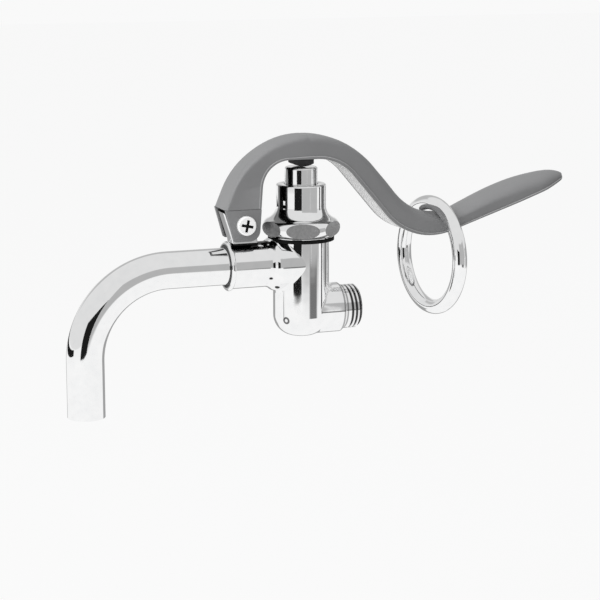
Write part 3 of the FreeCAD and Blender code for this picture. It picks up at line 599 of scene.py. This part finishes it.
def rounded_side(corners, start, end, arc_steps, line_steps):
    """Points along an open outline: start, straight sides joined by tangent arcs at the corners, end."""
    track = [Vector(start)] + [Vector(c[:2]) for c in corners] + [Vector(end)]
    radii = [0.0] + [c[2] for c in corners] + [0.0]
    points = []
    here = track[0]
    for i in range(1, len(track)):
        corner = track[i]
        back = (track[i - 1] - corner).normalized()
        if radii[i] > 0:
            ahead = (track[i + 1] - corner).normalized()
            half = back.angle(ahead) / 2
            reach = radii[i] / math.tan(half)
            enter, leave = corner + back * reach, corner + ahead * reach
            centre = corner + (back + ahead).normalized() * (radii[i] / math.sin(half))
        else:
            enter = leave = corner
        points += [here.lerp(enter, k / line_steps) for k in range(line_steps)]
        if radii[i] > 0:
            spoke = enter - centre
            sweep = spoke.angle_signed(leave - centre)
            points += [centre + Matrix.Rotation(-sweep * k / arc_steps, 2) @ spoke for k in range(arc_steps)]
        here = leave
    points.append(here)
    return points


def arc(centre, radius, start, stop, steps):
    """Points of a rounded edge, angles in degrees."""
    turns = [math.radians(start + (stop - start) * k / steps) for k in range(steps + 1)]
    return [(centre[0] + radius * math.cos(t), centre[1] + radius * math.sin(t)) for t in turns]


def turned(profile, axis_x, steps):
    """A ring turned about an upright axis. Its profile is (radius, height) in millimetres, all round."""
    bm = bmesh.new()
    centre = Vector((axis_x, 0, 0))
    side, axis = Vector((1, 0, 0)), Vector((0, 0, 1))
    verts = [bm.verts.new((centre + side * r + axis * h) * MM) for r, h in profile]
    edges = [bm.edges.new(pair) for pair in zip(verts, verts[1:] + verts[:1])]
    geom = verts + edges
    bmesh.ops.spin(bm, geom=geom, cent=centre * MM, axis=axis, angle=math.tau, steps=steps, use_merge=True)
    bmesh.ops.remove_doubles(bm, verts=bm.verts[:], dist=0.0005 * MM)
    bmesh.ops.recalc_face_normals(bm, faces=bm.faces[:])
    return bm


def on_lever(x, y, z):
    """A point of the lever in metres of the frame."""
    return Vector((VALVE_X + x, y, BUTTON_TOP + z)) * MM


# Lever cover
def height_at(x, outline):
    """Where an outline that runs along the lever stands at x."""
    for a, b in zip(outline, outline[1:]):
        if a.x <= x <= b.x and b.x > a.x:
            return a.y + (b.y - a.y) * (x - a.x) / (b.x - a.x)
    return outline[-1].y if x > outline[-1].x else outline[0].y


def ramp(x, stops):
    """A value that changes smoothly between its stops."""
    if x <= stops[0][0]:
        return stops[0][1]
    for (x0, v0), (x1, v1) in zip(stops, stops[1:]):
        if x <= x1:
            t = (x - x0) / (x1 - x0)
            return v0 + (v1 - v0) * t * t * (3 - 2 * t)
    return stops[-1][1]


def cover_section(depth, at, wide):
    """Half of the section, from the hem round lip and crown to the middle, as (in from the side, down)."""
    boxy = ramp(at, BOXINESS)
    crown = min(ramp(at, CROWN_DEPTH), depth - 1.35)
    lip = min(LIP_HEIGHT, depth * LIP_SHARE)
    step = ramp(at, LIP_STEP)
    tip = min(max((at - TIP_START) / TIP_REACH, 0.0), 1.0)
    lift = ramp(at, CREST_LIFT) - TIP_DROP * (1 - math.sqrt(1 - tip ** TIP_ROUNDNESS))
    hem = [(HEM_WIDTH, depth), (0.55, depth), (0.12, depth - 0.16), (0.0, depth - 0.6 * lip)]
    hem += [(0.12 * step, depth - 0.85 * lip), (0.4 * step, depth - lip), (step, depth - 1.05 * lip)]
    crest = []
    for k in range(1, CREST_STEPS + 1):
        turn = math.pi / 2 * (k / CREST_STEPS) ** 1.25
        across = math.cos(turn) ** (2 / boxy)
        up = math.sin(turn) ** (2 / boxy)
        crest.append((step + (wide - step) * (1 - across), crown * (1 - up) - lift * up))
    return hem + crest


def cover_ring(top, foot, plan):
    """One closed section of the cover: near side, over the crest, far side, inner wall."""
    down = foot - top
    depth = down.length
    down = down.normalized()
    wide = height_at(top.x, plan)
    near, far = [], []
    for inward, deep in cover_section(depth, top.x, wide):
        spot = top + down * deep
        reach = max(height_at(spot.x, plan) * (1 - inward / wide), 0.0)
        near.append((spot.x, -reach, spot.y))
        far.append((spot.x, reach, spot.y))
    wall = [(top.x + down.x * deep, wide - inward, top.y + down.y * deep) for inward, deep in INNER_WALL]
    other_wall = [(x, -y, z) for x, y, z in wall]
    return near + far[-2::-1] + wall[::-1] + other_wall


def cover_stations():
    """Pairs of points on the lever's upper and lower outline, closer together toward the rounded tip."""
    upper = rounded_side(TOP, NOSE, (TIP_X, TIP_TOP), ARC_STEPS, LINE_STEPS)
    lower = rounded_side(UNDER, (SEAM_REAR_X, NOSE[1]), (TIP_X, TIP_LOW), ARC_STEPS, LINE_STEPS)
    shared = len(UNDER) * (LINE_STEPS + ARC_STEPS)
    stations = list(zip(upper[:shared], lower[:shared]))
    tail = upper[shared:]
    for t in TAIL_STEPS:
        x = tail[0].x + (TIP_X - tail[0].x) * t
        stations.append((Vector((x, height_at(x, tail))), lower[shared].lerp(Vector((TIP_X, TIP_LOW)), t)))
    return stations


def make_lever_cover():
    """The moulded cover, drawn out section by section from the ears' seam over the arch and down to the tip."""
    plan = [Vector(PLAN_START)] + rounded_side(PLAN, PLAN_START, (TIP_X, 0.0), 12, 8)
    bm = bmesh.new()
    tag = bm.verts.layers.int.new("place")
    lip = bm.verts.layers.float.new("lip")
    rings = [[on_lever(*p) for p in cover_ring(top, foot, plan)] for top, foot in cover_stations()]
    far_hem = len(rings[0]) - 1 - 2 * len(INNER_WALL)
    lips = {*LIP_POINTS, *[far_hem - point for point in LIP_POINTS]}
    verts = [bm.verts.new(p) for p in rings[0]]
    for i, vert in enumerate(verts):
        vert[tag] = i
        vert[lip] = float(i in lips)
    edges = [bm.edges.new(pair) for pair in zip(verts, verts[1:] + verts[:1])]
    for ring in rings[1:]:
        made = bmesh.ops.extrude_edge_only(bm, edges=edges)["geom"]
        edges = [g for g in made if isinstance(g, bmesh.types.BMEdge)]
        for vert in {vert for edge in edges for vert in edge.verts}:
            vert.co = ring[vert[tag]]
            vert[lip] = float(vert[tag] in lips)
    rims = [edge for edge in bm.edges if len(edge.link_faces) == 1]
    bmesh.ops.holes_fill(bm, edges=rims, sides=0)
    bmesh.ops.recalc_face_normals(bm, faces=bm.faces[:])
    soften(bm, 40)
    piece("lever_cover_skin", bm, "lever", "lever_gray", "lever_cover")


def make_ear_ends():
    """The cover's two flat ends over the ears, below the seam."""
    bm = bmesh.new()
    front_low = (PIVOT_FROM_VALVE - EAR_FRONT, EAR_BOTTOM, EAR_FRONT_ROUND)
    rear_low = (PIVOT_FROM_VALVE + EAR_REAR, EAR_BOTTOM, EAR_REAR_ROUND)
    lean = (front_low[0] - NOSE[0]) / (front_low[1] - NOSE[1])
    seam = NOSE[1] - SEAM_GAP
    front, rear = (NOSE[0] - SEAM_GAP * lean, seam), (SEAM_REAR_X - SEAM_STEP_BACK, seam)
    outline = rounded_side((front_low, rear_low), front, rear, 10, 1)
    for start, end in ((-EAR_OUTSIDE, -EAR_INSIDE), (EAR_INSIDE, EAR_OUTSIDE)):
        face = bm.faces.new([bm.verts.new(on_lever(p.x, start, p.y)) for p in outline])
        made = bmesh.ops.extrude_face_region(bm, geom=[face])["geom"]
        moved = [g for g in made if isinstance(g, bmesh.types.BMVert)]
        bmesh.ops.translate(bm, verts=moved, vec=Vector((0, (end - start) * MM, 0)))
    bmesh.ops.recalc_face_normals(bm, faces=bm.faces[:])
    rim = [edge for edge in bm.edges if edge.calc_face_angle(0.0) > 1.2]
    round_off = EAR_EDGE_ROUND * MM
    bmesh.ops.bevel(bm, geom=rim, offset=round_off, segments=3, profile=0.5, affect="EDGES", material=-1)
    soften(bm, 40)
    piece("lever_ear_ends", bm, "lever", "lever_gray", "lever_cover")


# Bonnet
def bonnet_profile():
    """Round the wall's section: foot, bulge, flare, neck, crown, mouth, and down the hollow."""
    profile = [(BONNET_BORE, BONNET_FOOT), (BONNET_SKIRT, BONNET_FOOT), (BONNET_BASE, BONNET_FOOT + 0.26)]
    profile += arc(BULGE_CENTRE, BULGE_RADIUS, BULGE_START, BULGE_END, 30)
    profile += arc(FLARE_CENTRE, FLARE_RADIUS, 180 + BULGE_END, 180, 18)[1:]
    profile += arc((BONNET_NECK - CROWN_ROUND, BONNET_TOP - CROWN_ROUND), CROWN_ROUND, 0, 90, 6)
    profile += arc((MOUTH_RADIUS + MOUTH_ROUND, BONNET_TOP - MOUTH_ROUND), MOUTH_ROUND, 90, 180, 3)
    shoulder = BONNET_TOP - MOUTH_DEPTH
    profile += [(MOUTH_RADIUS, shoulder), (HOLLOW_RADIUS, shoulder)]
    return profile + [(HOLLOW_RADIUS, HOLLOW_FOOT), (BONNET_BORE, BORE_TOP)]


def cut_flat(bm, degrees):
    """Cuts one flat of the hexagon and closes it with a lens-shaped facet."""
    turn = math.radians(degrees)
    out = Vector((math.cos(turn), math.sin(turn), 0))
    spot = (Vector((VALVE_X, 0, FLATS_HEIGHT)) + out * FLATS_OUT) * MM
    geom = bm.verts[:] + bm.edges[:] + bm.faces[:]
    cut = bmesh.ops.bisect_plane(bm, geom=geom, dist=1e-7, plane_co=spot, plane_no=out, clear_outer=True)
    rim = [g for g in cut["geom_cut"] if isinstance(g, bmesh.types.BMEdge)]
    bmesh.ops.edgeloop_fill(bm, edges=rim, mat_nr=1, use_smooth=False)


def make_bonnet():
    """Turned bonnet with a bulging foot, cut by six flats into a rounded hexagon."""
    bm = turned(bonnet_profile(), VALVE_X, BONNET_STEPS)
    for i in range(6):
        cut_flat(bm, FLATS_TURN + 60 * i)
    bmesh.ops.recalc_face_normals(bm, faces=bm.faces[:])
    soften(bm, 30)
    for face in bm.faces:
        if face.material_index == 1:
            face.smooth = False
            for edge in face.edges:
                edge.smooth = False
    piece("bonnet_turned", bm, "valve", "bonnet_chrome", "bonnet", [FINISHES["facet_satin"]])


look_at_valve()
set_studio()
make_finishes()
mark_finishes()
make_lever_cover()
make_ear_ends()
make_bonnet()
dress_cad_nodes()
